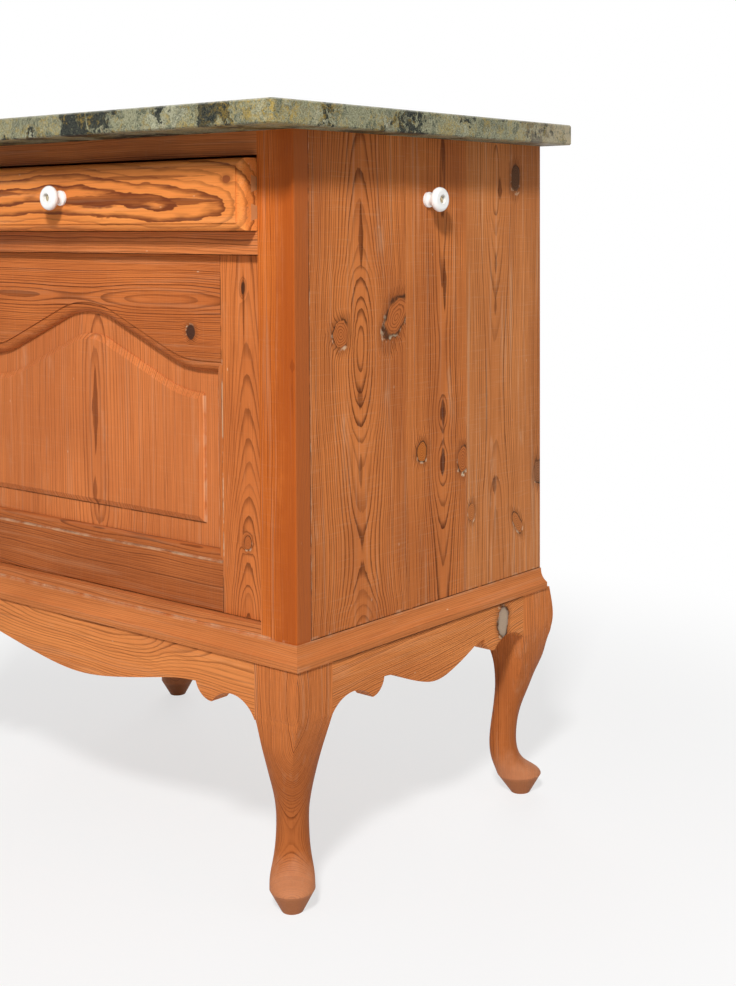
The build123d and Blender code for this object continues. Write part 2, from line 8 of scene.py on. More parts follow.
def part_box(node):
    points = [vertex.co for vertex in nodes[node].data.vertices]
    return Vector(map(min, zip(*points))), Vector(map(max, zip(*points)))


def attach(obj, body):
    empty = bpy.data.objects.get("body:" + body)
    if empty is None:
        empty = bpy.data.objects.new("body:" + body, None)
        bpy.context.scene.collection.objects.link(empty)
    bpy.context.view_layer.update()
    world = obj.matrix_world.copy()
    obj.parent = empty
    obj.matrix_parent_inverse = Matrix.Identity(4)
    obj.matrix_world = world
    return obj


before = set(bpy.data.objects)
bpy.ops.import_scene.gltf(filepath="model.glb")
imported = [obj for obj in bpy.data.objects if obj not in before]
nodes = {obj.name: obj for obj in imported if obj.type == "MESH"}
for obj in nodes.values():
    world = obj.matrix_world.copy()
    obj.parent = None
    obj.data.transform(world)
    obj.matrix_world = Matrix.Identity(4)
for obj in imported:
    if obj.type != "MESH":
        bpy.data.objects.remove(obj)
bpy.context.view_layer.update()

mm = 0.001
axes = {"x": (1, 0, 0), "y": (0, 1, 0), "z": (0, 0, 1)}
print("frame loaded:", len(nodes), "pieces")


# Shader maths: a wire is a socket that can be added, multiplied and compared

class Wire:
    def __init__(self, shader, socket):
        self.shader = shader
        self.socket = socket

    def maths(self, operation, *values):
        return self.shader.node("ShaderNodeMath", {"operation": operation}, dict(enumerate(values)))

    def __add__(self, other):
        return self.maths("ADD", self, other)

    def __sub__(self, other):
        return self.maths("SUBTRACT", self, other)

    def __mul__(self, other):
        return self.maths("MULTIPLY", self, other)

    def __truediv__(self, other):
        return self.maths("DIVIDE", self, other)

    def __rsub__(self, other):
        return self.maths("SUBTRACT", other, self)

    def __pow__(self, power):
        return self.maths("POWER", self, power)

    __radd__ = __add__
    __rmul__ = __mul__

    def magnitude(self):
        return self.maths("ABSOLUTE", self)

    def root(self):
        return self.maths("SQRT", self)

    def exponent(self):
        return self.maths("EXPONENT", self)

    def fraction(self):
        return self.maths("FRACT", self)

    def floor(self):
        return self.maths("FLOOR", self)

    def most(self, other):
        return self.maths("MAXIMUM", self, other)

    def rise(self, low, high):  # 0 below low, 1 above high, smooth between
        return self.shader.node("ShaderNodeMapRange", {"interpolation_type": "SMOOTHSTEP"},
                                {"Value": self, "From Min": low, "From Max": high})


class Shader:  # the nodes of a material or of the world
    def __init__(self, owner, end="ShaderNodeOutputMaterial"):
        self.owner = owner
        owner.use_nodes = True
        self.tree = owner.node_tree
        self.tree.nodes.clear()
        self.end = self.tree.nodes.new(end)
        self.place = self.node("ShaderNodeTexCoord", output="Object")

    def node(self, kind, settings=None, sockets=None, output=0):
        made = self.tree.nodes.new(kind)
        for key, value in (settings or {}).items():
            if key == "points":  # the points of a curve
                line = made.mapping.curves[0]
                for position, height in value[1:-1]:
                    line.points.new(position, height)
                for point, (position, height) in zip(line.points, value):
                    point.location = (position, height)
                made.mapping.update()
            else:
                setattr(made, key, value)
        for key, value in (sockets or {}).items():
            if isinstance(value, Wire):
                self.tree.links.new(value.socket, made.inputs[key])
            else:
                made.inputs[key].default_value = value
        return Wire(self, made.outputs[output])

    def mix(self, amount, first, second):  # colours only
        first, second = (c if isinstance(c, Wire) else (*c, 1) for c in (first, second))
        return self.node("ShaderNodeMix", {"data_type": "RGBA"}, {0: amount, 6: first, 7: second}, output=2)

    def vector(self, x, y, z):
        return self.node("ShaderNodeCombineXYZ", None, {0: x, 1: y, 2: z})

    def along(self, direction):  # how far the point lies along a direction
        return self.node("ShaderNodeVectorMath", {"operation": "DOT_PRODUCT"},
                         {0: self.place, 1: direction}, "Value")

    def noise(self, place, scale, detail=2.0, rough=0.5, output=0):
        return self.node("ShaderNodeTexNoise", None,
                         {"Vector": place, "Scale": scale, "Detail": detail, "Roughness": rough}, output)

    def noiseLine(self, value, scale):  # noise of one number
        return self.node("ShaderNodeTexNoise", {"noise_dimensions": "1D"},
                         {"W": value, "Scale": scale, "Detail": 1.0})

    def seen(self):  # 1 for rays from the camera, from a mirror or through glass
        rays = [self.node("ShaderNodeLightPath", None, None, f"Is {kind} Ray")
                for kind in ("Camera", "Glossy", "Transmission")]
        return rays[0].most(rays[1]).most(rays[2])

    def show(self, surface):
        self.tree.links.new(surface.socket, self.end.inputs[0])
        return self.owner

    def finish(self, sockets, relief, distance):  # the one principled shader, with its bump
        bump = self.node("ShaderNodeBump", None, {"Height": relief, "Distance": distance})
        return self.show(self.node("ShaderNodeBsdfPrincipled", None, {**sockets, "Normal": bump}))


def material(name):
    return Shader(bpy.data.materials.new(name))


def dress(names, finish):
    for name in names:
        slots = nodes[name].data.materials
        slots.clear()
        slots.append(finish)


# Pine. Rings are sheets round a pith line that runs beside or behind the board, so their cut by a
# face gives cathedrals, eyes and straight lines, as in a sawn board. Lengths are in mm, and a
# board's depth is the pith's distance behind its face in ring pitches, by the place along the board.

upward = {"along": axes["z"], "across": axes["x"], "deep": axes["y"]}  # front, vertical grain
level = {"along": axes["x"], "across": axes["z"], "deep": axes["y"]}  # front, level grain
sideUp = {"along": axes["z"], "across": axes["y"], "deep": axes["x"]}  # side, vertical grain
sideLevel = {"along": axes["y"], "across": axes["z"], "deep": axes["x"]}  # side, level grain

pineTones = {
    "light": (0.560, 0.178, 0.047),
    "tan": (0.440, 0.128, 0.034),
    "late": (0.085, 0.018, 0.005),
    "cream": (0.72, 0.56, 0.37),
    "soot": (0.045, 0.020, 0.010),
    "roughness": 0.52,
    "coat": 0.0,
    "worn": 0.16,     # share of cream in the worn patches
    "streak": 0.22,   # share of tan in the broad streaks
    "pale": 0.05,     # share of cream between them
    "saw": 0.02,      # share of cream in the saw marks
    "specks": 0.5,    # share of cream in the filler specks
}
boardUsual = {"wander": 6, "slant": 0.0, "narrow": 1.0, "facing": 1.0, "ripple": 3.0, "warp": 9,
              "crowd": 12.0, "fray": 0.34, "early": 0.52, "bold": 1.0}
knotUsual = {"lean": 0.0, "push": 2.0, "rim": 0.15, "rimDark": 0.85, "turns": 5.0, "crumbs": 0.55}
lineUsual = {"from": 0.42, "to": 0.60, "strength": 0.8, "dark": False, "within": None}
grainNoise = {  # how fast each noise changes along and across the grain, per metre, and its detail
    "fine": (34, 260, 3.0, 0.5), "ragged": (60, 75, 3.0, 0.5), "crack": (40, 60, 4.0, 0.62),
    "worn": (9, 34, 4.0, 0.62), "blotch": (5, 16, 3.0, 0.5), "fibre": (16, 1100, 2.0, 0.5),
    "streak": (5, 190, 3.0, 0.5), "saw": (620, 22, 2.0, 0.5), "crumbs": (150, 190, 3.0, 0.5),
}
ringLook = {"slowAcross": 9.0, "slowScale": 1.6, "wanderScale": 3.1, "knotReach": -0.55,
            "spacingScale": 0.45, "spacing": 1.1, "dark": 0.92, "sharp": (0.95, 1.0), "seedStep": 7.31,
            "weight": (0.30, 0.66), "weightLow": 0.38, "toneScale": 0.31, "tone": (0.4, 0.8),
            "toneShare": 0.35}
speckLook = {"along": 60, "across": 170, "chosen": (0.970, 0.985), "size": (0.04, 0.15)}


class Pine(Shader):
    def __init__(self, name, grain, board, tones):
        super().__init__(bpy.data.materials.new(name))
        self.board = {**boardUsual, **board}
        self.seed = board["seed"]
        self.tones = {**pineTones, **tones}
        self.length, self.width, self.depth = (self.along(grain[key]) for key in ("along", "across",
                                                                                  "deep"))
        self.fine = self.grained("fine")
        self.ragged = self.grained("ragged")
        self.crack = self.grained("crack")
        self.colour = None
        self.relief = None

    def stretch(self, fast, cross, seed):
        return self.vector(self.length * fast + seed, self.width * cross, self.depth * cross)

    def grained(self, kind, seeded=True):
        fast, cross, detail, rough = grainNoise[kind]
        return self.noise(self.stretch(fast, cross, self.seed if seeded else 0), 1.0, detail, rough)

    def paint(self, amount, tone):
        self.colour = self.mix(amount, self.colour, tone)

    def pithDepth(self):  # a curve through the board's depths
        low, high = self.board["span"]
        depths = self.board["depth"]
        top = max(depth for _, depth in depths) * 1.05 + 0.01
        points = [((place - low) / (high - low), depth / top) for place, depth in depths]
        share = (self.length - low * mm) / ((high - low) * mm)
        curve = self.node("ShaderNodeFloatCurve", {"points": points}, {"Value": share})
        return curve * (top * self.board["pitch"] * mm)

    def knotReach(self, knot):  # 1 on the knot's ragged oval: root((along / long)^2 + (across / wide)^2)
        place, middle, longHalf, wideHalf = (knot[key] * mm for key in ("a", "c", "long", "wide"))
        up = self.length - place
        across = self.width - middle - up * knot["lean"]
        reach = ((up / longHalf) ** 2 + (across / wideHalf) ** 2).root()
        return reach * (self.ragged * 0.9 + 0.55)

    def ringNumber(self, knots):
        # the distance from the pith line, root(side^2 + back^2), with a slow warp and a push round
        # each knot, divided by the pitch and growing closer away from the pith
        board = self.board
        pitch = board["pitch"] * mm
        drift = self.noiseLine(self.length + self.seed, ringLook["wanderScale"]) - 0.5
        side = self.width - board["centre"] * mm - drift * (board["wander"] * 2 * mm)
        side = (side - self.length * board["slant"]) * board["narrow"]
        back = self.pithDepth() + (self.depth - board["face"] * mm) * board["facing"]
        slow = self.stretch(board["ripple"], ringLook["slowAcross"], self.seed)
        warp = self.noise(slow, ringLook["slowScale"]) - 0.5
        radius = (side ** 2 + back ** 2).root() + warp * (board["warp"] * mm)
        for knot in knots:
            reach = self.knotReach(knot)
            radius = radius + (reach * reach * ringLook["knotReach"]).exponent() * (knot["push"] * pitch)
        ring = radius / pitch * (1 + radius * board["crowd"])
        ring = ring + self.noiseLine(ring, ringLook["spacingScale"]) * ringLook["spacing"]
        return ring + (self.fine - 0.5) * board["fray"]

    def latewood(self, ring):  # a slow rise and a sharp drop in each ring, some rings stronger
        phase = ring.fraction()
        late = phase.rise(self.board["early"], ringLook["dark"]) * (1 - phase.rise(*ringLook["sharp"]))
        weight = self.noiseLine(ring.floor() * ringLook["seedStep"] + self.seed,
                                1.0).rise(*ringLook["weight"])
        low = ringLook["weightLow"]
        return late * (weight * (1 - low) + low) * self.board["bold"]

    def addFlame(self, flame):
        # a pointed lens of dark latewood, where (along / long)^1.4 + across / wide is under 1
        reach = (self.length - flame["a"] * mm).magnitude() / (flame["long"] * mm)
        reach = reach ** 1.4 + (self.width - flame["c"] * mm).magnitude() / (flame["wide"] * mm)
        inside = 1 - (reach + (self.fine - 0.5) * 1.3).rise(0.78, 1.02)
        self.paint(inside * flame.get("dark", 0.8), self.tones["late"])

    def addBand(self, band):  # a broad change of tone across part of the piece; the legs' first band uses it for painted shade
        shift = (self.ragged - 0.5) * (band.get("rough", 0.0) * mm)
        share = (self.along(axes[band["axis"]]) + shift).rise(band["start"] * mm, band["end"] * mm)
        self.paint((1 - share if band.get("below") else share) * band["strength"], band["tone"])

    def addKnot(self, knot):
        # a ringed heart inside a dark broken rim, a brown halo, and crumbs of filler below
        tones = self.tones
        reach = self.knotReach(knot)
        inside = 1 - reach.rise(0.90, 1.02)
        rim = (1 - (reach - 1.0).magnitude().rise(0.02, knot["rim"])) * knot["rimDark"]
        halo = (1 - reach.rise(1.0, 2.0)) * 0.38
        turns = (reach * knot["turns"]).fraction().rise(0.45, 0.95)
        heart = self.mix(turns * 0.6, knot.get("tone", tones["tan"]), knot.get("core", tones["late"]))
        crumbs = self.grained("crumbs", seeded=False).rise(0.50, 0.66)
        crumbs = crumbs * (1 - (self.length - knot["a"] * mm).rise(-6 * mm, 8 * mm))
        skirt = (1 - (reach - 1.12).magnitude().rise(0.05, 0.24)) * crumbs * knot["crumbs"]
        self.paint(halo, tones["late"])
        self.paint(inside, heart)
        self.paint(rim * self.crack.rise(0.40, 0.54), tones["soot"])
        self.paint(skirt, tones["cream"])
        self.relief = self.relief - rim * 1.5

    def addLine(self, line):
        # a thin cream or dark line beside a plane, broken up along its length; besides seams and filler,
        # some lines are painted highlights and painted shadows
        gap = (self.along(axes[line["axis"]]) - line["at"] * mm).magnitude()
        broken = self.noise(self.place, 55.0, 3.0, 0.6).rise(line["from"], line["to"])
        band = (1 - gap.rise(0.25 * line["width"] * mm, line["width"] * mm)) * broken
        if line["within"]:
            axis, low, high = line["within"]
            reach = self.along(axes[axis])
            band = band * reach.rise(low * mm,
                                     (low + 1) * mm) * (1 - reach.rise((high - 1) * mm, high * mm))
        self.paint(band * line["strength"], self.tones["soot" if line["dark"] else "cream"])
        self.relief = self.relief - band * 0.6

    def addSpecks(self):  # a few cells hold a cream speck
        place = self.stretch(speckLook["along"], speckLook["across"], self.seed)
        cell, near = (self.node("ShaderNodeTexVoronoi", None, {"Vector": place, "Scale": 1.0}, output)
                      for output in ("Color", "Distance"))
        chosen = self.node("ShaderNodeSeparateColor", None, {0: cell}).rise(*speckLook["chosen"])
        self.paint((1 - near.rise(*speckLook["size"])) * chosen * self.tones["specks"], self.tones["cream"])


def pine(name, grain, board, knots=(), lines=(), tones=None, flames=(), bands=()):
    s = Pine(name, grain, board, tones or {})
    t = s.tones
    knots = [{**knotUsual, **knot} for knot in knots]
    ring = s.ringNumber(knots)
    late = s.latewood(ring)
    blotch = s.grained("blotch")
    fibre = s.grained("fibre")
    streak = s.grained("streak")
    s.colour = s.mix(blotch.rise(0.30, 0.72), t["tan"], t["light"])
    s.relief = late * -0.55 + fibre * 0.5
    ringTone = s.noiseLine(ring + s.seed, ringLook["toneScale"]).rise(*ringLook["tone"])
    s.paint(ringTone * ringLook["toneShare"], t["tan"])
    s.paint(late * 0.92, t["late"])
    for flame in flames:
        s.addFlame(flame)
    s.paint(fibre.rise(0.48, 0.74) * 0.34, t["late"])
    s.paint(streak.rise(0.50, 0.66) * t["streak"], t["tan"])
    s.paint((1 - streak.rise(0.32, 0.46)) * t["pale"], t["cream"])
    s.paint(s.grained("saw").rise(0.54, 0.72) * t["saw"], t["cream"])
    for band in bands:
        s.addBand(band)
    s.paint(s.grained("worn").rise(0.60, 0.80) * t["worn"], t["cream"])
    for knot in knots:
        s.addKnot(knot)
    for line in lines:
        s.addLine({**lineUsual, **line})
    s.addSpecks()
    rough = t["roughness"] + (blotch - 0.5) * 0.16 + late * -0.06
    return s.finish({"Base Color": s.colour, "Roughness": rough, "Specular IOR Level": 0.05,
                     "Coat Weight": t["coat"], "Coat Roughness": 0.35}, s.relief, 0.22 * mm)


# Which board each piece is cut from, in mm in the shared frame

sideBoards = {
    1: {"span": (272, 772), "centre": -83, "face": 325, "facing": -1, "pitch": 5.0, "narrow": 0.95,
        "crowd": 9.0, "seed": 1.3, "wander": 3, "warp": 5, "bold": 1.0,
        "depth": [(272, 4.0), (289, 4.9), (307, 5.9), (350, 6.6), (397, 5.9), (452, 4.9), (476, 3.9),
                  (498, 2.9), (520, 1.9), (545, 0.8), (558, 0.5), (572, 0.9), (589, 1.9), (608, 2.9),
                  (629, 3.9), (647, 4.9), (700, 5.9), (772, 7.0)]},
    2: {"span": (272, 772), "centre": 51, "face": 325, "facing": -1, "pitch": 5.0, "narrow": 1.1,
        "crowd": 9.0, "seed": 6.1, "wander": 3, "warp": 4, "bold": 1.0,
        "depth": [(272, 5.6), (330, 4.9), (370, 3.9), (395, 2.9), (423, 2.2), (450, 2.95), (476, 2.3),
                  (500, 3.0), (540, 3.4), (594, 2.95), (650, 2.6), (720, 2.0), (772, 2.2)]},
    3: {"span": (272, 772), "centre": 148, "face": 325, "facing": -1, "pitch": 5.0, "narrow": 1.0,
        "crowd": 9.0, "seed": 11.7, "wander": 3, "warp": 4, "bold": 0.9,
        "depth": [(272, 2.1), (300, 2.3), (373, 2.9), (405, 3.9), (500, 4.8), (587, 3.9), (635, 2.9),
                  (679, 1.9), (719, 0.5), (772, 1.3)]},
}

sideKnots = {
    1: [{"a": 571, "c": -113, "long": 13, "wide": 11, "push": 2.2},
        {"a": 584, "c": -27, "long": 21, "wide": 16, "lean": 0.5, "push": 2.6, "rim": 0.24}],
    2: [{"a": 438, "c": 14, "long": 11, "wide": 8, "push": 1.8, "tone": (0.50, 0.15, 0.03)},
        {"a": 420, "c": 86, "long": 14, "wide": 9, "push": 1.6, "crumbs": 0.9}],
    3: [{"a": 734, "c": 188, "long": 16, "wide": 9, "push": 1.6, "tone": (0.13, 0.055, 0.024),
         "core": (0.05, 0.02, 0.01)},
        {"a": 359, "c": 102, "long": 10, "wide": 6.5, "push": 1.6},
        {"a": 334, "c": 190, "long": 13, "wide": 7, "lean": -0.5, "push": 1.4},
        {"a": 387, "c": 233, "long": 14, "wide": 9, "push": 1.6, "tone": (0.30, 0.12, 0.05)}],
}

sideFlames = {
    1: [{"a": 668, "c": -82, "long": 36, "wide": 4.2},
        {"a": 505, "c": -85, "long": 14, "wide": 4.5, "dark": 0.55},
        {"a": 430, "c": -84, "long": 22, "wide": 3.5, "dark": 0.5}],
    2: [{"a": 615, "c": 55, "long": 34, "wide": 3.6}, {"a": 476, "c": 51, "long": 20, "wide": 5.5},
        {"a": 424, "c": 50, "long": 19, "wide": 5.5},
        {"a": 762, "c": 52, "long": 30, "wide": 3.0, "dark": 0.6}],
    3: [{"a": 719, "c": 157, "long": 15, "wide": 5.0},
        {"a": 636, "c": 149, "long": 14, "wide": 3.0, "dark": 0.6},
        {"a": 587, "c": 148, "long": 12, "wide": 2.6, "dark": 0.6},
        {"a": 384, "c": 146, "long": 16, "wide": 4.0, "dark": 0.6}],
}
sideTones = {"light": (0.610, 0.196, 0.052), "tan": (0.460, 0.136, 0.036), "worn": 0.20, "specks": 0.4,
             "saw": 0.05, "pale": 0.09}
rearTones = {**sideTones, "light": (0.640, 0.235, 0.074), "tan": (0.500, 0.170, 0.050), "worn": 0.28,
             "pale": 0.16}
for number in (1, 2, 3):
    # the dark line at z 272 is a painted shadow along the foot of the side boards above the moulding; the
    # cream lines lie along the joints
    seamAndShadowLines = [{"axis": "z", "at": 272, "width": 1.6, "dark": True, "strength": 0.9, "from": 0.3,
                  "to": 0.45},
                 {"axis": "z", "at": 274, "width": 2.0, "strength": 0.25, "from": 0.5, "to": 0.68}]
    if number == 1:
        seamAndShadowLines.append({"axis": "y", "at": -158.4, "width": 1.2, "strength": 0.35, "from": 0.5,
                          "to": 0.66})
    board = sideBoards[number]
    finish = pine(f"sidePine{number}", sideUp, board, sideKnots[number], seamAndShadowLines,
                  rearTones if number == 3 else sideTones, sideFlames[number])
    dress([f"side_board_right_{number}"], finish)
    mirror = {**board, "face": -board["face"], "facing": 1, "seed": board["seed"] + 31.0}
    dress([f"side_board_left_{number}"],
          pine(f"leftPine{number}", sideUp, mirror, (), seamAndShadowLines, sideTones))
print("side boards dressed")

postTones = {"light": (0.680, 0.185, 0.034), "tan": (0.500, 0.118, 0.018), "late": (0.13, 0.024, 0.005),
             "roughness": 0.44, "coat": 0.04, "worn": 0.05, "specks": 0.6, "streak": 0.75, "pale": 0.09}
postBoard = {"span": (272, 772), "centre": 190, "face": -180, "pitch": 2.6, "crowd": 2.0, "seed": 3.7,
             "wander": 4, "warp": 7, "bold": 1.0, "depth": [(272, 22.0), (500, 20.5), (772, 22.5)]}
postLines = [{"axis": "z", "at": 273, "width": 2.4, "strength": 0.35, "from": 0.46, "to": 0.66},
             {"axis": "y", "at": -158.4, "width": 1.6, "dark": True, "strength": 0.75, "from": 0.3,
              "to": 0.5}]
dress(["post_right", "post_left"],
      pine("postPine", upward, postBoard, (), postLines, postTones,
           [{"a": 544, "c": 321.5, "long": 9, "wide": 3.2, "dark": 1.0},
            {"a": 520, "c": 321.5, "long": 30, "wide": 1.4}],
           [{"axis": "x", "start": 286, "end": 316, "tone": (0.34, 0.066, 0.008), "strength": 0.72,
             "rough": 20},
            {"axis": "y", "start": -179.4, "end": -178.2, "tone": (0.36, 0.100, 0.026), "strength": 0.7}]))

railBoard = {"span": (-307, 307), "centre": 620, "face": -180, "pitch": 2.4, "crowd": 2.0, "seed": 8.2,
             "wander": 3, "warp": 8, "bold": 0.8, "depth": [(-307, 20.0), (0, 19.0), (307, 20.0)]}
railTones = {"light": (0.600, 0.190, 0.055), "tan": (0.450, 0.135, 0.040), "worn": 0.1}
dress(["top_rail", "drawer_rail"], pine("railPine", level, railBoard, (), (), railTones))
dress(["bottom_rail"], pine("bottomRailPine", level, {**railBoard, "centre": 230, "seed": 2.2}, (),
                            [{"axis": "z", "at": 273, "width": 2.6, "strength": 0.3, "from": 0.34,
                              "to": 0.70}], railTones))

drawerBoard = {"span": (-276, 276), "centre": 709, "face": -201, "pitch": 11.5, "narrow": 1.3, "crowd": 0.5,
               "seed": 4.4, "wander": 6, "warp": 17, "bold": 1.35, "fray": 0.62, "early": 0.46,
               "slant": -0.02, "ripple": 8.0,
               "depth": [(-276, 1.0), (-200, 0.8), (-120, 0.6), (-40, 0.7), (40, 0.8), (110, 0.85),
                         (160, 0.9), (200, 1.3), (235, 2.1), (276, 3.6)]}
drawerFlames = [{"a": 70, "c": 706, "long": 130, "wide": 7.5},
                {"a": 190, "c": 704, "long": 62, "wide": 4.0},
                {"a": -150, "c": 716, "long": 90, "wide": 5.0},
                {"a": 120, "c": 729, "long": 110, "wide": 2.4, "dark": 0.6}]
drawerTones = {"light": (0.800, 0.275, 0.066), "tan": (0.680, 0.210, 0.047), "late": (0.165, 0.038, 0.010),
               "saw": 0.0, "roughness": 0.46, "coat": 0.04, "worn": 0.06}
dress(["drawer_front"], pine("drawerPine", level, drawerBoard,
                             [{"a": 256, "c": 725, "long": 6, "wide": 4, "push": 0.9, "rimDark": 0.2,
                               "crumbs": 0.0, "tone": (0.28, 0.075, 0.022)}], (), drawerTones,
                               drawerFlames))

railSeam = {"axis": "x", "at": 214.3, "width": 1.2, "dark": True, "strength": 0.7, "from": 0.3, "to": 0.5}
doorTones = {"light": (0.600, 0.175, 0.044), "tan": (0.460, 0.124, 0.031), "worn": 0.12}
topRailBoard = {"span": (-225, 225), "centre": 603, "face": -171, "pitch": 7.0, "narrow": 1.15,
                "crowd": 34.0, "seed": 9.1, "wander": 2, "warp": 4, "bold": 1.1, "fray": 0.22,
                "depth": [(-225, 1.9), (-120, 1.6), (-20, 2.0), (43, 1.42), (121, 0.55), (199, 1.42),
                          (225, 1.8)]}
dress(["door_rail_top"], pine("doorTopPine", level, topRailBoard,
                              [{"a": 169.5, "c": 570.3, "long": 6.5, "wide": 8, "push": 1.0,
                                "tone": (0.07, 0.028, 0.016), "core": (0.03, 0.012, 0.008),
                                "rimDark": 0.3}],
                              [railSeam], doorTones))
lowRailBoard = {"span": (-225, 225), "centre": 390, "face": -171, "pitch": 3.0, "crowd": 2.0, "seed": 5.2,
                "wander": 6, "warp": 10, "bold": 0.8, "depth": [(-225, 9.0), (0, 8.0), (225, 9.0)]}
dress(["door_rail_bottom"], pine("doorLowPine", level, lowRailBoard, (),
                                 [railSeam,
                                  {"axis": "z", "at": 337.0, "width": 2.0, "strength": 0.40, "from": 0.28,
                                   "to": 0.68}],
                                 {**doorTones, "light": (0.470, 0.138, 0.038),
                                  "tan": (0.350, 0.096, 0.026)}))
stileBoard = {"span": (285, 650), "centre": 251, "face": -171, "pitch": 4.0, "narrow": 0.8, "crowd": 26.0,
              "seed": 7.9, "wander": 3, "warp": 5, "bold": 0.8,
              "depth": [(285, 0.9), (308, 1.9), (327, 2.9), (362, 3.6), (395, 4.4), (430, 5.4), (520, 7.0),
                        (650, 8.0)]}
# the cream line at x 214.8 is a painted highlight along the stile's inner moulding; the dark line at x
# 214.3 marks the seam
stileHighlightAndSeam = [{"axis": "x", "at": 214.8, "width": 1.8, "strength": 0.55, "from": 0.40, "to": 0.58,
               "within": ("z", 335, 545)},
              {"axis": "x", "at": 214.3, "width": 1.0, "dark": True, "strength": 0.5, "from": 0.36,
               "to": 0.52}]
dress(["door_stile_right"], pine("stilePine", upward, stileBoard,
                                 [{"a": 361.6, "c": 250.3, "long": 7, "wide": 5, "push": 1.6,
                                   "core": (0.04, 0.016, 0.008)},
                                  {"a": 617.5, "c": 246.7, "long": 6, "wide": 2.5, "push": 1.6,
                                   "tone": (0.06, 0.022, 0.010), "rimDark": 0.2, "crumbs": 0.0}],
                                 stileHighlightAndSeam, doorTones, [{"a": 600, "c": 247, "long": 46, "wide": 1.6}]))
leftStile = {**stileBoard, "centre": -246, "seed": 27.0}
dress(["door_stile_left"], pine("leftStilePine", upward, leftStile, (),
                                [{**line, "at": -line["at"]} for line in stileHighlightAndSeam], doorTones))
panelBoard = {"span": (330, 600), "centre": 8, "face": -162, "pitch": 6.0, "narrow": 0.7, "crowd": 16.0,
              "seed": 12.4, "wander": 4, "warp": 7, "bold": 0.8,
              "depth": [(330, 2.4), (350, 1.9), (372, 1.4), (430, 1.0), (470, 0.9), (520, 1.5), (560, 2.2),
                        (600, 3.0)]}
panelTones = {"light": (0.620, 0.190, 0.055), "tan": (0.510, 0.148, 0.042), "late": (0.18, 0.044, 0.013),
              "worn": 0.14}
# the cream lines at x 179.6 and 201 are painted highlights on the edges of the field's bevel; the dark line
# at z 372 is a painted shadow at the field's foot
panelHighlightsAndShadow = [{"axis": "x", "at": 179.6, "width": 2.4, "strength": 0.30, "from": 0.30, "to": 0.70,
               "within": ("z", 372, 505)},
              {"axis": "z", "at": 372.0, "width": 1.5, "dark": True, "strength": 0.55, "from": 0.3,
               "to": 0.5, "within": ("x", -180, 180)},
              {"axis": "x", "at": 201.0, "width": 3.0, "strength": 0.35, "from": 0.38, "to": 0.60,
               "within": ("z", 345, 520)}]
dress(["door_panel"], pine("panelPine", upward, panelBoard, (), panelHighlightsAndShadow, panelTones,
                           [{"a": 480, "c": 8, "long": 60, "wide": 5.5},
                            {"a": 385, "c": 6, "long": 26, "wide": 4.0, "dark": 0.7}]))
print("front dressed")

mouldTones = {"light": (0.610, 0.205, 0.062), "tan": (0.490, 0.155, 0.044), "late": (0.19, 0.050, 0.015),
              "worn": 0.26, "specks": 0.6}
mouldLines = [{"axis": "z", "at": 272, "width": 2.0, "strength": 0.18, "from": 0.30, "to": 0.70}]
mouldBoard = {"span": (-340, 340), "centre": 180, "face": -190, "pitch": 2.6, "crowd": 2.0, "seed": 14.2,
              "wander": 3, "warp": 6, "bold": 0.55, "depth": [(-340, 12.0), (0, 11.0), (340, 12.0)]}
dress(["base_moulding_front"], pine("mouldFrontPine", level, mouldBoard, (), mouldLines, mouldTones))
mouldSide = {**mouldBoard, "span": (-200, 240), "face": 335, "facing": -1, "seed": 15.9,
             "depth": [(-200, 12.0), (0, 11.0), (240, 12.0)]}
dress(["base_moulding_right", "base_moulding_left"],
      pine("mouldSidePine", sideLevel, mouldSide, (), mouldLines, mouldTones))

apronTones = {"light": (0.700, 0.245, 0.069), "tan": (0.570, 0.182, 0.050), "late": (0.14, 0.034, 0.009),
              "worn": 0.16}
apronBoard = {"span": (-275, 275), "centre": 250, "face": -188, "pitch": 4.2, "crowd": 6.0, "seed": 17.5,
              "wander": 16, "warp": 16, "bold": 0.8,
              "depth": [(-275, 7.0), (-120, 3.0), (0, 1.0), (90, 2.0), (160, 6.0), (275, 8.0)]}
# the dark line at z 249 is a painted shadow under the moulding's overhang
dress(["apron_front"], pine("apronFrontPine", level, apronBoard, (),
                            [{"axis": "z", "at": 249, "width": 1.6, "dark": True, "strength": 0.8,
                              "from": 0.3, "to": 0.5}], apronTones))
apronSide = {"span": (-170, 195), "centre": 120, "face": 333, "facing": -1, "pitch": 3.4, "crowd": 3.0,
             "seed": 19.5, "wander": 10, "warp": 10, "bold": 0.9, "slant": 0.10,
             "depth": [(-170, 16.0), (0, 17.0), (195, 15.0)]}
holeKnot = {"a": 151, "c": 227, "long": 10, "wide": 19, "tone": (0.42, 0.31, 0.22),
            "core": (0.30, 0.21, 0.15), "turns": 1.0, "rim": 0.26}
# the dark line at z 249 is a painted shadow under the moulding's overhang
dress(["apron_right"], pine("apronSidePine", sideLevel, apronSide, [holeKnot],
                            [{"axis": "z", "at": 249, "width": 3.0, "dark": True, "strength": 0.9,
                              "from": 0.2, "to": 0.4}], apronTones))
apronLeft = {**apronSide, "face": -apronSide["face"], "facing": 1, "seed": 44.0}
dress(["apron_left"], pine("apronLeftPine", sideLevel, apronLeft, (), (), apronTones))
print("mouldings and aprons dressed")

diagonal = math.sqrt(0.5)
legPlaces = {"x": 325, "front": 179.7, "rear": 237.3}
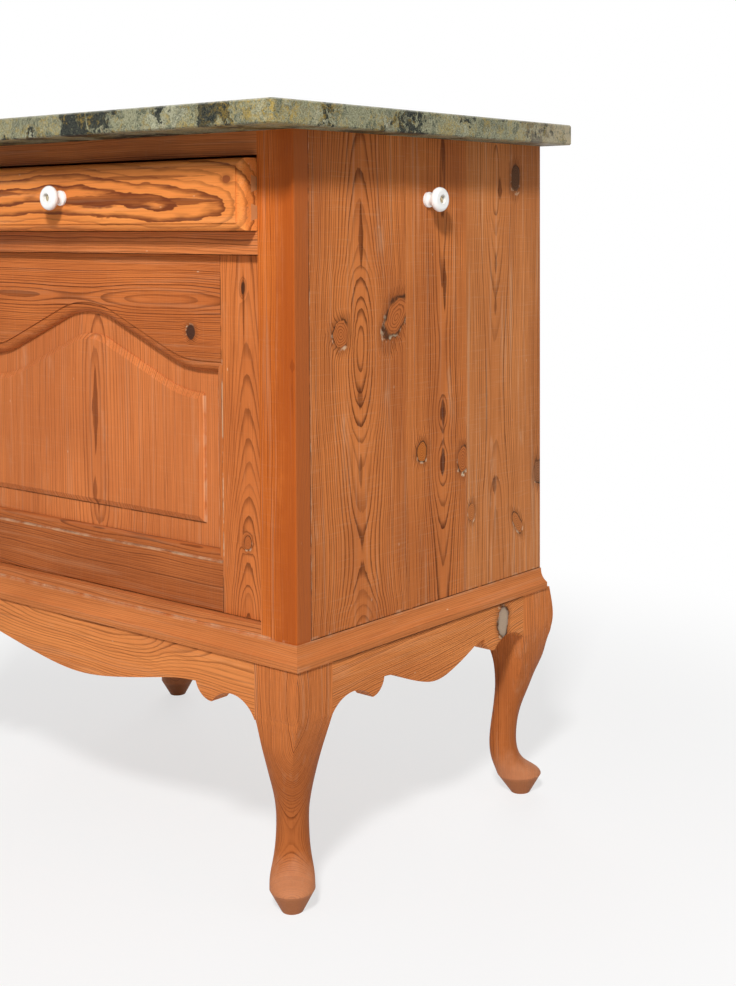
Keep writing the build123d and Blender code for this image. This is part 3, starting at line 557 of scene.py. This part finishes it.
# the first band is painted shade, darkening the lower leg where its curve turns from the light and fading
# out towards the knee block; the second makes the feet paler and the third darkens the foot's base
legBandsWithPaintedShade = [{"axis": "z", "start": 120, "end": 215, "below": True, "tone": (0.250, 0.064, 0.016),
             "strength": 0.5, "rough": 40},
            {"axis": "z", "start": 30, "end": 62, "below": True, "tone": (0.70, 0.34, 0.19),
             "strength": 0.34, "rough": 34},
            {"axis": "z", "start": 17, "end": 23, "below": True, "tone": (0.28, 0.100, 0.038),
             "strength": 0.50, "rough": 5}]
legTones = {"light": (0.680, 0.215, 0.057), "tan": (0.530, 0.158, 0.041), "late": (0.13, 0.030, 0.008),
            "worn": 0.16, "specks": 0.8, "streak": 0.4, "pale": 0.08, "roughness": 0.48}
legBoard = {"span": (0, 249), "pitch": 1.5, "narrow": 0.8, "crowd": 0.8, "warp": 4, "bold": 1.1,
            "fray": 0.22, "depth": [(0, 66.0), (120, 64.0), (249, 66.0)]}
for side, sign in (("right", 1), ("left", -1)):
    for end, turn in (("front", -1), ("rear", 1)):
        grain = {"along": axes["z"], "across": (diagonal * turn, -diagonal * sign, 0),
                 "deep": (diagonal * sign, diagonal * turn, 0)}
        board = {**legBoard, "face": (legPlaces["x"] + legPlaces[end]) * diagonal,
                 "centre": (legPlaces["x"] - legPlaces[end]) * diagonal * sign * turn,
                 "seed": 21.0 + 3 * sign + 7 * turn}
        dress([f"leg_{end}_{side}"],
              pine(f"legPine_{end}_{side}", grain, board, tones=legTones, bands=legBandsWithPaintedShade))
print("legs dressed")

innerTones = {"light": (0.60, 0.37, 0.19), "tan": (0.50, 0.29, 0.14), "late": (0.30, 0.15, 0.07),
              "roughness": 0.72, "worn": 0.10, "specks": 0.0}
innerBoard = {"pitch": 4.5, "narrow": 0.6, "crowd": 8.0, "bold": 0.8}
innerUpBoard = {**innerBoard, "pitch": 5.0, "span": (272, 772), "centre": 30, "face": 225, "seed": 33.0,
                "depth": [(272, 3.0), (500, 1.0), (772, 4.0)]}
innerLevelBoard = {**innerBoard, "span": (-310, 310), "centre": 700, "face": 100, "seed": 35.0,
                   "depth": [(-310, 3.0), (0, 1.0), (310, 4.0)]}
innerSideBoard = {**innerBoard, "span": (-200, 240), "centre": 700, "face": 260, "facing": -1, "seed": 37.0,
                  "depth": [(-200, 3.0), (0, 1.0), (240, 4.0)]}
drawerEnds = [{"axis": "y", "start": -177.5, "end": -176.5, "below": True, "tone": (0.52, 0.22, 0.085),
               "strength": 0.95}]
bothSides = [f"{kind}_{side}" for kind in ("top_cleat", "drawer_runner",
                                           "drawer_guide") for side in ("right", "left")]
dress([f"back_board_{n}" for n in (1, 2, 3)], pine("innerUpPine", upward, innerUpBoard, tones=innerTones))
dress(["cabinet_floor", "top_rear_rail", "base_rear_rail", "apron_rear", "glue_blocks", "drawer_back",
       "drawer_bottom"], pine("innerLevelPine", level, innerLevelBoard, tones=innerTones))
dress(bothSides, pine("innerSidePine", sideLevel, innerSideBoard, tones=innerTones))
dress(["drawer_side_right", "drawer_side_left"],
      pine("drawerSidePine", sideLevel, {**innerSideBoard, "centre": 690, "seed": 39.0}, tones=innerTones,
           bands=drawerEnds))
print("inner wood dressed")


# Stone, porcelain and metal

stoneTones = {"sage": (0.034, 0.042, 0.022), "cream": (0.420, 0.410, 0.285), "dark": (0.006, 0.009, 0.008),
              "grey": (0.050, 0.060, 0.038), "olive": (0.190, 0.186, 0.100), "ochre": (0.400, 0.260, 0.040),
              "rust": (0.24, 0.10, 0.03), "end": (0.43, 0.36, 0.25), "edge": (0.50, 0.50, 0.42)}
stoneNoise = {"wobble": (60.0, 4.0, 0.62), "cloud": (24.0, 5.0, 0.66), "threads": (180.0, 6.0, 0.74),
              "hairs": (400.0, 4.0, 0.7), "patch": (56.0, 4.0, 0.62)}  # scale, detail, roughness
stoneLook = {"cell": 24.0, "shift": 0.05, "speck": (560.0, 4.0, 0.7), "relief": 0.25 * mm,
             "goldX": (0.22, 0.33), "goldY": (-0.225, -0.17),  # the ochre front corner, in metres
             "tanX": (0.30, 0.36), "tanY": (0.10, 0.25),       # the tan rear end
             "arris": (0.7925, 0.7950)}                        # the pale upper arris


def ridge(wire, middle, width):  # 1 along the line where a noise passes its middle value
    return 1 - (wire - middle).magnitude().rise(0.0, width)


def breccia(name, t, look):
    s = material(name)
    x, y, z = (s.along(axes[axis]) for axis in "xyz")
    wobble = s.noise(s.place, *stoneNoise["wobble"], output="Color")
    moved = s.node("ShaderNodeVectorMath", {"operation": "MULTIPLY_ADD"},
                   {0: wobble, 1: (look["shift"],) * 3, 2: s.place})
    cloud, threads, hairs, patch = (s.noise(moved, *stoneNoise[key]) for key in ("cloud", "threads",
                                                                                 "hairs", "patch"))
    speck = s.noise(s.place, *look["speck"])
    stones = {"Vector": moved, "Scale": look["cell"]}
    cells = s.node("ShaderNodeTexVoronoi", {"feature": "DISTANCE_TO_EDGE"}, stones)
    kind = s.node("ShaderNodeSeparateColor", None,
                  {0: s.node("ShaderNodeTexVoronoi", None, stones, "Color")})
    lace = ridge(threads, 0.47, 0.028).most(ridge(hairs, 0.5, 0.04) * 0.85)
    ground = s.mix(patch.rise(0.43, 0.53), t["sage"], t["olive"])
    ground = s.mix(cloud.rise(0.56, 0.64) * threads.rise(0.40, 0.52) * 0.8, ground, t["cream"])
    pale = s.mix(lace, ground, t["cream"])
    pale = s.mix(speck.rise(0.47, 0.60) * 0.60, pale, t["grey"])
    clast = kind.rise(0.50, 0.54) * cells.rise(0.03, 0.07) * threads.rise(0.36, 0.44)
    dark = s.mix(speck.rise(0.56, 0.74) * 0.5, t["dark"], t["grey"])
    dark = s.mix(ridge(hairs, 0.54, 0.02) * 0.4, dark, t["cream"])
    colour = s.mix(clast, pale, dark)
    gold = ridge(cloud, 0.53, 0.04) * threads.rise(0.40, 0.54)
    colour = s.mix(gold * 0.55, colour, t["ochre"])
    colour = s.mix((1 - cells.rise(0.0, 0.015)) * 0.5 * threads.rise(0.48, 0.6), colour, t["rust"])
    corner = x.rise(*look["goldX"]) * (1 - y.rise(*look["goldY"]))
    colour = s.mix(corner * ridge(patch, 0.5, 0.08) * threads.rise(0.44, 0.54) * 0.5, colour, t["ochre"])
    tanEnd = y.rise(*look["tanY"]) * x.rise(*look["tanX"]) * patch.rise(0.36, 0.5)
    colour = s.mix(tanEnd * 0.7, colour, t["end"])
    colour = s.mix(z.rise(*look["arris"]) * threads.rise(0.40, 0.56) * 0.6, colour, t["edge"])
    sockets = {"Base Color": colour, "Roughness": 0.40 + speck * 0.22, "Specular IOR Level": 0.15}
    return s.finish(sockets, speck, look["relief"])


dress(["marble_slab"], breccia("greenMarble", stoneTones, stoneLook))

china = {"white": (0.83, 0.82, 0.79), "stain": (0.62, 0.58, 0.50), "rough": 0.10, "coat": 0.6,
         "coatRough": 0.04, "fleckScale": 300.0, "waveScale": 90.0, "wave": 0.1 * mm}
glaze = material("porcelainGlaze")
flecks = glaze.noise(glaze.place, china["fleckScale"], 3.0).rise(0.60, 0.78)
glazed = glaze.finish({"Base Color": glaze.mix(flecks * 0.25, china["white"], china["stain"]),
                       "Roughness": china["rough"] + flecks * 0.1, "Coat Weight": china["coat"],
                       "Coat Roughness": china["coatRough"]},
                      glaze.noise(glaze.place, china["waveScale"]), china["wave"])
dress(["towel_knob", "drawer_knob"], glazed)

metals = {
    "screwBrass": {"bright": (0.62, 0.52, 0.33), "dull": (0.30, 0.22, 0.12), "patch": 500.0, "rough": 0.30},
    "agedBrass": {"bright": (0.58, 0.42, 0.18), "dull": (0.27, 0.17, 0.08), "patch": 160.0, "rough": 0.32},
    "agedIron": {"bright": (0.30, 0.28, 0.26), "dull": (0.13, 0.09, 0.07), "patch": 180.0, "rough": 0.38},
    "pinBrass": {"bright": (0.60, 0.44, 0.20), "dull": (0.28, 0.18, 0.09), "patch": 300.0, "rough": 0.30},
}
scratchDepth = 0.08 * mm


def metal(name):
    look = metals[name]
    s = material(name)
    tarnish = s.noise(s.place, look["patch"], 4.0, 0.62).rise(0.42, 0.62)
    scratch = s.noise(s.place, look["patch"] * 9, 3.0, 0.6)
    sockets = {"Base Color": s.mix(tarnish, look["bright"], look["dull"]), "Metallic": 1 - tarnish * 0.25,
               "Roughness": look["rough"] + tarnish * 0.18 + (scratch - 0.5) * 0.12}
    return s.finish(sockets, scratch, scratchDepth)


hingeLeaves = [f"hinge_{side}_leaf_{n}" for side in ("post", "door") for n in (1, 2)]
dress(["towel_knob_screw", "drawer_knob_screw"], metal("screwBrass"))
dress(hingeLeaves + ["escutcheon"], metal("agedBrass"))
dress(["lock_case", "lock_bolt", "key"], metal("agedIron"))
print("stone, glaze and metal dressed")


# The escutcheon's two pins, which the solids leave out

pins = {"radius": 1.1, "rise": 0.7, "rings": 13, "turns": 28, "crowd": 0.8, "inset": 3.2,
        "normal": (0, -1, 0), "across": (1, 0, 0), "body": "door", "slot": "escutcheon_brass"}


def domeHeads(name, centres, look, finish):
    # each head is a grid of rings and turns: height = rise * sqrt(1 - share^2), where share is the
    # part of the radius
    rings = np.linspace(0, 1, look["rings"]) ** look["crowd"]
    turns = np.linspace(0, 2 * np.pi, look["turns"], endpoint=False)
    shares, turns = np.meshgrid(rings, turns, indexing="ij")
    u = (shares * np.cos(turns) * look["radius"])[..., None]
    v = (shares * np.sin(turns) * look["radius"])[..., None]
    height = (look["rise"] * np.sqrt(np.clip(1 - shares ** 2, 0, 1)))[..., None]
    normal = np.array(look["normal"], float)
    across = np.array(look["across"], float)
    head = (u * across + v * np.cross(normal, across) + height * normal).reshape(-1, 3)
    index = np.arange(shares.size).reshape(shares.shape)
    after = np.roll(index, -1, axis=1)
    quads = np.stack([index[:-1], index[1:], after[1:], after[:-1]], -1).reshape(-1, 4)
    points = np.concatenate([head + np.array(centre) for centre in centres]) * mm
    faces = np.concatenate([quads + k * shares.size for k in range(len(centres))])
    mesh = bpy.data.meshes.new(name)
    mesh.from_pydata(points.tolist(), [], faces.tolist())
    mesh.validate()
    mesh.shade_smooth()
    mesh.materials.append(finish)
    piece = bpy.data.objects.new(name, mesh)
    bpy.context.scene.collection.objects.link(piece)
    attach(piece, look["body"])


plateLow, plateHigh = (np.array(corner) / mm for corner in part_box("escutcheon"))
midX = (plateLow[0] + plateHigh[0]) / 2
pinPlaces = [(midX, plateLow[1], height) for height in (plateLow[2] + pins["inset"],
                                                        plateHigh[2] - pins["inset"])]
domeHeads("escutcheon_pins", pinPlaces, pins, metal("pinBrass"))
print("fixings made")


# Camera, matched to the photograph: angles in degrees, lens and middle in pixels

view = {"place": (1.3105, -1.2042, 0.6773), "turn": 38.212, "fall": 2.815, "roll": 0.189, "focal": 1476.445,
        "middle": (440.632, 299.888), "wide": 736, "tall": 986, "sensor": 36.0}
turn, fall, roll = (math.radians(view[key]) for key in ("turn", "fall", "roll"))
ahead = Vector((-math.sin(turn) * math.cos(fall), math.cos(turn) * math.cos(fall), -math.sin(fall)))
rightward = Vector((math.cos(turn), math.sin(turn), 0))
downward = ahead.cross(rightward)
rolledRight = math.cos(roll) * rightward + math.sin(roll) * downward
rolledDown = math.cos(roll) * downward - math.sin(roll) * rightward
lens = bpy.data.cameras.new("photoLens")
lens.sensor_fit = "VERTICAL"
lens.sensor_height = view["sensor"]
lens.lens = view["focal"] / view["tall"] * view["sensor"]
lens.shift_x = (view["wide"] / 2 - view["middle"][0]) / view["tall"]
lens.shift_y = (view["middle"][1] - view["tall"] / 2) / view["tall"]
camera = bpy.data.objects.new("photoCamera", lens)
columns = Matrix((rolledRight, -rolledDown, -ahead)).transposed()
camera.matrix_world = Matrix.Translation(view["place"]) @ columns.to_4x4()
bpy.context.scene.collection.objects.link(camera)
bpy.context.scene.camera = camera


# Floor, backdrop and studio light

studio = {"floor": 0.80, "reach": 14.0, "sky": 0.22, "white": (1, 1, 1, 1), "aim": (0.05, -0.05, 0.42),
          "fade": (0.5, 1.3), "near": 0.66}  # the floor turns to backdrop between the two fade distances
lamps = {
    "key": {"place": (1.8, -2.35, 2.75), "size": 0.45, "power": 139.0},
    "fill": {"place": (3.2, 0.4, 1.6), "size": 2.4, "power": 6.0},
    "low": {"place": (-1.4, -3.2, 1.2), "size": 2.6, "power": 5.0},
    "rear": {"place": (-2.2, 2.6, 1.9), "size": 2.4, "power": 42.0},
}


def whiteGround():
    s = material("paleFloor")
    away = s.node("ShaderNodeVectorMath", {"operation": "LENGTH"}, {0: s.place},
                  "Value").rise(*studio["fade"])
    shade = s.node("ShaderNodeBsdfDiffuse", None, {"Color": (studio["floor"],) * 3 + (1,)})
    glow = s.node("ShaderNodeEmission", None, {"Color": studio["white"], "Strength": 1.0})
    share = s.seen() * (away * (1 - studio["near"]) + studio["near"])
    return s.show(s.node("ShaderNodeMixShader", None, {0: share, 1: shade, 2: glow}))


half = studio["reach"]
floorMesh = bpy.data.meshes.new("floor")
floorMesh.from_pydata([(-half, -half, 0), (half, -half, 0), (half, half, 0), (-half, half, 0)], [],
                      [(0, 1, 2, 3)])
floorPiece = bpy.data.objects.new("floor", floorMesh)
bpy.context.scene.collection.objects.link(floorPiece)
floorMesh.materials.append(whiteGround())

world = bpy.data.worlds.new("studioSky")
bpy.context.scene.world = world
sky = Shader(world, "ShaderNodeOutputWorld")
skyLight = sky.node("ShaderNodeBackground", None, {0: studio["white"], 1: studio["sky"]})
skyShown = sky.node("ShaderNodeBackground", None, {0: studio["white"], 1: 1.0})
sky.show(sky.node("ShaderNodeMixShader", None, {0: sky.seen(), 1: skyLight, 2: skyShown}))

for name, lamp in lamps.items():
    light = bpy.data.lights.new(name + "Light", "AREA")
    light.size = lamp["size"]
    light.energy = lamp["power"]
    lampPiece = bpy.data.objects.new(name + "Lamp", light)
    lampPiece.location = lamp["place"]
    towards = Vector(studio["aim"]) - Vector(lamp["place"])
    lampPiece.rotation_euler = towards.to_track_quat("-Z", "Y").to_euler()
    bpy.context.scene.collection.objects.link(lampPiece)

bpy.context.scene.view_settings.view_transform = "Standard"
print("camera and light set")
